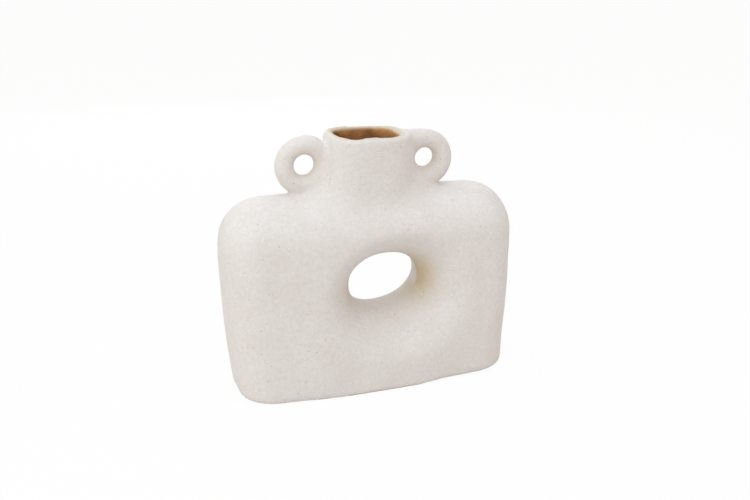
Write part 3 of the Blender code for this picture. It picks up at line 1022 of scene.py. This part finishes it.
def bleached(tree, share, plain, white, output):
    """Show the camera, a mirror or glass a share of white instead of the plain shader."""
    path = node(tree, "ShaderNodeLightPath").outputs
    seen = maths(tree, "MAXIMUM", path["Is Camera Ray"],
                 maths(tree, "MAXIMUM", path["Is Glossy Ray"], path["Is Transmission Ray"]))
    blend = node(tree, "ShaderNodeMixShader")
    for place, value in enumerate((maths(tree, "MULTIPLY", seen, share), plain, white)):
        feed(tree, value, blend.inputs[place])
    feed(tree, blend.outputs[0], tree.nodes[output].inputs["Surface"])


class VASE_OT_stage(bpy.types.Operator):
    """Set up the pale floor, the soft light and the camera"""
    bl_idname = "vase.stage"
    bl_label = "Stage"

    def execute(self, context):
        scene, studio = context.scene, context.scene.vase_studio
        self.lay_floor()
        world = bpy.data.worlds.new("soft_studio")
        world.use_nodes = True
        scene.world = world
        tree = world.node_tree
        room = tree.nodes["Background"]
        room.inputs["Color"].default_value = (1.0, 0.90, 0.843, 1.0)
        room.inputs["Strength"].default_value = ROOM_LIGHT
        white = node(tree, "ShaderNodeBackground", Color=(1.0, 1.0, 1.0, 1.0), Strength=1.0)
        bleached(tree, 1.0, room.outputs[0], white.outputs[0], "World Output")

        for softbox in SOFTBOXES:
            self.lamp(*softbox)

        turn, rise = studio.azimuth, studio.elevation
        back = Vector((-sin(turn) * cos(rise), -cos(turn) * cos(rise), sin(rise)))
        lens = bpy.data.cameras.new("photo_camera")
        lens.sensor_width = SENSOR_WIDTH
        lens.lens = studio.focal / PHOTO_WIDTH * SENSOR_WIDTH
        camera = bpy.data.objects.new("photo_camera", lens)
        camera.location = Vector(studio.target) + back * studio.distance
        camera.rotation_euler = (-back).to_track_quat("-Z", "Y").to_euler()
        scene.collection.objects.link(camera)
        scene.camera = camera
        scene.view_settings.view_transform = "Standard"
        return {"FINISHED"}

    def lay_floor(self):
        """A wide sheet of pale paper, nearly bleached out."""
        bm = bmesh.new()
        bmesh.ops.create_grid(bm, x_segments=1, y_segments=1, size=FLOOR_HALF_WIDTH)
        floor = clay_object("pale_floor", bm)
        paper, tree, shader = plain_material("pale_paper", 0.0)
        shader["Base Color"].default_value = (0.82, 0.81, 0.79, 1.0)
        shader["Roughness"].default_value = 0.95
        glow = node(tree, "ShaderNodeEmission", Strength=1.0)
        plain = tree.nodes["Principled BSDF"].outputs[0]
        bleached(tree, FLOOR_WHITE, plain, glow.outputs[0], "Material Output")
        floor.data.materials.append(paper)

    def lamp(self, name, place, size, watts, tint):
        """A square softbox that faces the vase."""
        light = bpy.data.lights.new(name, "AREA")
        light.size, light.energy, light.color = size, watts, tint
        lamp = bpy.data.objects.new(name, light)
        lamp.location = place
        lamp.rotation_euler = (LAMP_AIM - Vector(place)).to_track_quat("-Z", "Y").to_euler()
        bpy.context.scene.collection.objects.link(lamp)


class VASE_PT_panel(bpy.types.Panel):
    """Buttons and sizes of the vase"""
    bl_label = "Donut vase"
    bl_idname = "VASE_PT_panel"
    bl_space_type = "VIEW_3D"
    bl_region_type = "UI"
    bl_category = "Vase"

    def draw(self, context):
        for operator in OPERATORS:
            self.layout.operator(operator.bl_idname)
        for name, _ in GROUPS:
            sizes = getattr(context.scene, name)
            box = self.layout.box()
            for label in sizes.__annotations__:
                box.prop(sizes, label)


OPERATORS = (VASE_OT_body, VASE_OT_neck, VASE_OT_rings, VASE_OT_fire, VASE_OT_part, VASE_OT_stage)
GROUPS = (("vase_body", VaseBodySizes), ("vase_tunnel", VaseTunnelSizes), ("vase_neck", VaseNeckSizes),
          ("vase_rings", VaseRingSizes), ("vase_firing", VaseFiring), ("vase_finish", VaseFinish),
          ("vase_studio", VaseStudio))


def register():
    for _, sizes in GROUPS:
        bpy.utils.register_class(sizes)
    for kind in OPERATORS + (VASE_PT_panel,):
        bpy.utils.register_class(kind)
    for name, sizes in GROUPS:
        setattr(bpy.types.Scene, name, PointerProperty(type=sizes))


def unregister():
    for name, _ in GROUPS:
        delattr(bpy.types.Scene, name)
    for kind in (VASE_PT_panel,) + OPERATORS:
        bpy.utils.unregister_class(kind)
    for _, sizes in GROUPS:
        bpy.utils.unregister_class(sizes)


def main():
    register()
    bpy.ops.vase.body()
    bpy.ops.vase.neck()
    bpy.ops.vase.rings()
    bpy.ops.vase.fire()
    bpy.ops.vase.part()
    bpy.ops.vase.stage()


if __name__ == "__main__":
    main()
